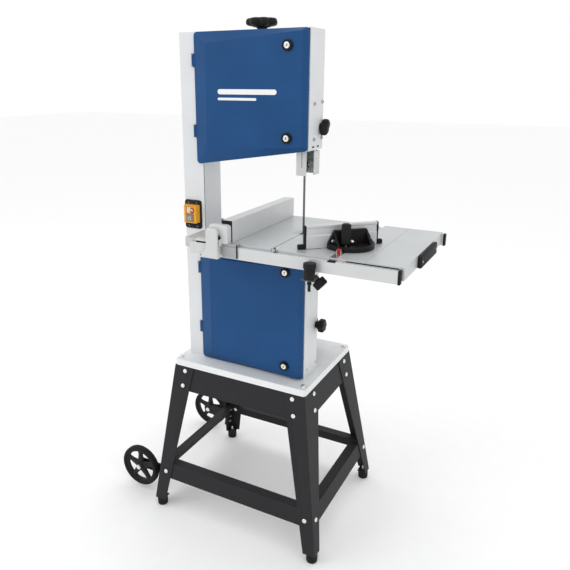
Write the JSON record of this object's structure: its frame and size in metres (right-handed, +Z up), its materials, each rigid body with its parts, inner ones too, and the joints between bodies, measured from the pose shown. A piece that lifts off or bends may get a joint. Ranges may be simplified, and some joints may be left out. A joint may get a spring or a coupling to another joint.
{
  "type": "band saw",
  "caption": "Vertical wood-cutting band saw on an open sheet-metal stand, with tilting table, rip fence, mitre gauge, hinged wheel doors and transport wheels.",
  "frame": {"origin": "middle of the base of the whole machine, on the floor", "axes": "+Z up, doors and table front face -Y, table extension towards +X"},
  "size_m": [1.0128, 0.6114, 1.582],
  "materials": {
    "housing_paint": "satin powder coat",
    "door_paint": "satin powder coat",
    "stand_paint": "fine textured powder coat",
    "zinc": "zinc plated",
    "steel": "machined",
    "cast_alloy": "cast",
    "table_metal": "ground cast plate",
    "extrusion": "anodised",
    "white_paint": "satin",
    "black_plastic": "fine grain",
    "rubber": "moulded",
    "motor_paint": "cast and painted",
    "yellow_plastic": "moulded",
    "cream_plastic": "moulded",
    "grey_plastic": "moulded",
    "post_paint": "painted"
  },
  "bodies": {
    "root": {"stand_legs": "stand_paint", "stand_rails": "stand_paint", "levelling_feet": "black_plastic", "fasteners": "zinc", "wheel_brackets": "stand_paint", "base_plate": "housing_paint", "column": "housing_paint", "upper_housing": "housing_paint", "lower_housing": "housing_paint", "door_hinge_pins": "zinc", "lower_shaft": "zinc", "saw_blade": "steel", "drive_belt": "rubber", "motor": "motor_paint", "lower_guide": "post_paint", "trunnion_saddle": "steel", "switch_plate": "black_plastic", "switch_body": "yellow_plastic", "cable_gland": "black_plastic", "cable_hooks": "black_plastic", "dust_port": "black_plastic"},
    "upper_door": {"upper_door": "door_paint"},
    "lower_door": {"lower_door": "door_paint"},
    "upper_lock_top": {"upper_door_lock_top": "black_plastic"},
    "upper_lock_bottom": {"upper_door_lock_bottom": "black_plastic"},
    "lower_lock_top": {"lower_door_lock_top": "black_plastic"},
    "lower_lock_bottom": {"lower_door_lock_bottom": "black_plastic"},
    "carriage": {"wheel_carriage": "steel"},
    "upper_wheel": {"upper_wheel": "cast_alloy", "upper_tyre": "rubber"},
    "tracking_knob": {"tracking_knob": "black_plastic"},
    "lower_wheel": {"lower_wheel": "cast_alloy", "lower_tyre": "rubber"},
    "motor_pulley": {"motor_pulley": "cast_alloy"},
    "tension_handwheel": {"tension_handwheel": "black_plastic"},
    "guide": {"guide_post": "post_paint", "upper_guide": "post_paint", "blade_guard": "white_paint"},
    "post_clamp_knob": {"post_clamp_knob": "black_plastic"},
    "belt_tension_knob": {"belt_tension_knob": "black_plastic"},
    "table": {"table_main": "table_metal", "table_insert": "table_metal", "table_rails": "extrusion", "rail_end_caps": "black_plastic", "table_brackets": "steel"},
    "extension": {"table_extension": "table_metal", "extension_grip": "black_plastic"},
    "rail_clamp_handle": {"rail_clamp_handle": "black_plastic"},
    "tilt_lock_knob": {"tilt_lock_knob": "black_plastic"},
    "fence": {"fence_carriage": "white_paint", "fence_beam": "extrusion"},
    "fence_lever": {"fence_lever": "white_paint"},
    "mitre_bar": {"mitre_bar": "steel"},
    "mitre_head": {"mitre_head": "cast_alloy", "mitre_fence": "extrusion"},
    "mitre_knob": {"mitre_knob": "black_plastic"},
    "start_button": {"start_button": "cream_plastic"},
    "stop_button": {"stop_button": "grey_plastic"},
    "transport_wheel_front": {"transport_wheel_front": "black_plastic"},
    "transport_wheel_rear": {"transport_wheel_rear": "black_plastic"}
  },
  "joints": [
    {"name": "upper_door_hinge", "type": "hinge", "parent": "root", "child": "upper_door", "pos_m": [-0.1944, -0.1067, 1.377], "axis": [0, 0, -1], "range_deg": [0, 110]},
    {"name": "lower_door_hinge", "type": "hinge", "parent": "root", "child": "lower_door", "pos_m": [-0.1944, -0.1067, 0.713], "axis": [0, 0, -1], "range_deg": [0, 110]},
    {"name": "upper_lock_top_turn", "type": "hinge", "parent": "upper_door", "child": "upper_lock_top", "pos_m": [0.1146, -0.1217, 1.503], "axis": [0, -1, 0], "range_deg": [0, 90]},
    {"name": "upper_lock_bottom_turn", "type": "hinge", "parent": "upper_door", "child": "upper_lock_bottom", "pos_m": [0.1146, -0.1217, 1.265], "axis": [0, -1, 0], "range_deg": [0, 90]},
    {"name": "lower_lock_top_turn", "type": "hinge", "parent": "lower_door", "child": "lower_lock_top", "pos_m": [0.1146, -0.1217, 0.884], "axis": [0, 1, 0], "range_deg": [0, 90]},
    {"name": "lower_lock_bottom_turn", "type": "hinge", "parent": "lower_door", "child": "lower_lock_bottom", "pos_m": [0.1146, -0.1217, 0.587], "axis": [0, -1, 0], "range_deg": [0, 90]},
    {"name": "lower_wheel_spin", "type": "hinge", "parent": "root", "child": "lower_wheel", "pos_m": [-0.0184, -0.05485, 0.7135], "axis": [0, 1, 0], "continuous": true},
    {"name": "blade_tension", "type": "slide", "parent": "root", "child": "carriage", "axis": [0, 0, 1], "range_m": [-0.00875, 0]},
    {"name": "upper_wheel_spin", "type": "hinge", "parent": "carriage", "child": "upper_wheel", "pos_m": [-0.0184, -0.05485, 1.377], "axis": [0, 1, 0], "continuous": true},
    {"name": "motor_pulley_spin", "type": "hinge", "parent": "root", "child": "motor_pulley", "pos_m": [0.0476, -0.0307, 0.628], "axis": [0, 1, 0], "continuous": true},
    {"name": "tension_handwheel_turn", "type": "hinge", "parent": "root", "child": "tension_handwheel", "pos_m": [-0.0134, -0.0247, 1.56], "axis": [0, 0, 1], "range_deg": [0, 1800]},
    {"name": "tracking_knob_turn", "type": "hinge", "parent": "carriage", "child": "tracking_knob", "pos_m": [-0.0184, 0.0033, 1.377], "axis": [0, 1, 0], "range_deg": [-360, 360]},
    {"name": "belt_tension_knob_turn", "type": "hinge", "parent": "root", "child": "belt_tension_knob", "pos_m": [0.1756, -0.0177, 0.695], "axis": [1, 0, 0], "range_deg": [-180, 180]},
    {"name": "post_clamp_turn", "type": "hinge", "parent": "root", "child": "post_clamp_knob", "pos_m": [0.1756, -0.0247, 1.291], "axis": [1, 0, 0], "range_deg": [0, 180]},
    {"name": "guide_height", "type": "slide", "parent": "root", "child": "guide", "axis": [0, 0, 1], "range_m": [-0.15, 0.035]},
    {"name": "table_tilt", "type": "hinge", "parent": "root", "child": "table", "pos_m": [0.13935, -0.1017, 0.99065], "axis": [0, 1, 0], "range_deg": [0, 45]},
    {"name": "extension_slide", "type": "slide", "parent": "table", "child": "extension", "axis": [1, 0, 0], "range_m": [0, 0.15]},
    {"name": "rail_clamp_turn", "type": "hinge", "parent": "table", "child": "rail_clamp_handle", "pos_m": [0.2636, -0.2887, 0.95], "axis": [0, 0, 1], "range_deg": [0, 180]},
    {"name": "tilt_lock_turn", "type": "hinge", "parent": "table", "child": "tilt_lock_knob", "pos_m": [0.2666, -0.2517, 0.9254], "axis": [0.7431, 0, -0.6691], "range_deg": [0, 180]},
    {"name": "fence_slide", "type": "slide", "parent": "table", "child": "fence", "axis": [-1, 0, 0], "range_m": [-0.1, 0.02]},
    {"name": "fence_lever_lift", "type": "hinge", "parent": "fence", "child": "fence_lever", "pos_m": [-0.0254, -0.2817, 1.02], "axis": [-1, 0, 0], "range_deg": [0, 40]},
    {"name": "mitre_slide", "type": "slide", "parent": "table", "child": "mitre_bar", "axis": [0, 1, 0], "range_m": [-0.12, 0.16]},
    {"name": "mitre_turn", "type": "hinge", "parent": "mitre_bar", "child": "mitre_head", "pos_m": [0.3131, -0.1377, 1], "axis": [0, 0, 1], "range_deg": [-104, 12]},
    {"name": "mitre_knob_turn", "type": "hinge", "parent": "mitre_bar", "child": "mitre_knob", "pos_m": [0.3131, -0.1707, 1.02], "axis": [0, 0, 1], "range_deg": [-180, 180]},
    {"name": "start_button_press", "type": "slide", "parent": "root", "child": "start_button", "axis": [0, 1, 0], "range_m": [0, 0.003], "stiffness_N_per_m": 400},
    {"name": "stop_button_press", "type": "slide", "parent": "root", "child": "stop_button", "axis": [0, 1, 0], "range_m": [0, 0.003], "stiffness_N_per_m": 400},
    {"name": "transport_wheel_front_spin", "type": "hinge", "parent": "root", "child": "transport_wheel_front", "pos_m": [-0.4314, -0.1707, 0.087], "axis": [0, 1, 0], "continuous": true},
    {"name": "transport_wheel_rear_spin", "type": "hinge", "parent": "root", "child": "transport_wheel_rear", "pos_m": [-0.4314, 0.2883, 0.087], "axis": [0, 1, 0], "continuous": true}
  ],
  "couplings": [
    {"joint": "upper_wheel_spin", "follows": "lower_wheel_spin", "ratio": 1},
    {"joint": "motor_pulley_spin", "follows": "lower_wheel_spin", "ratio": 1.7286},
    {"joint": "blade_tension", "follows": "tension_handwheel_turn", "m_per_rad": -0.00027852}
  ]
}
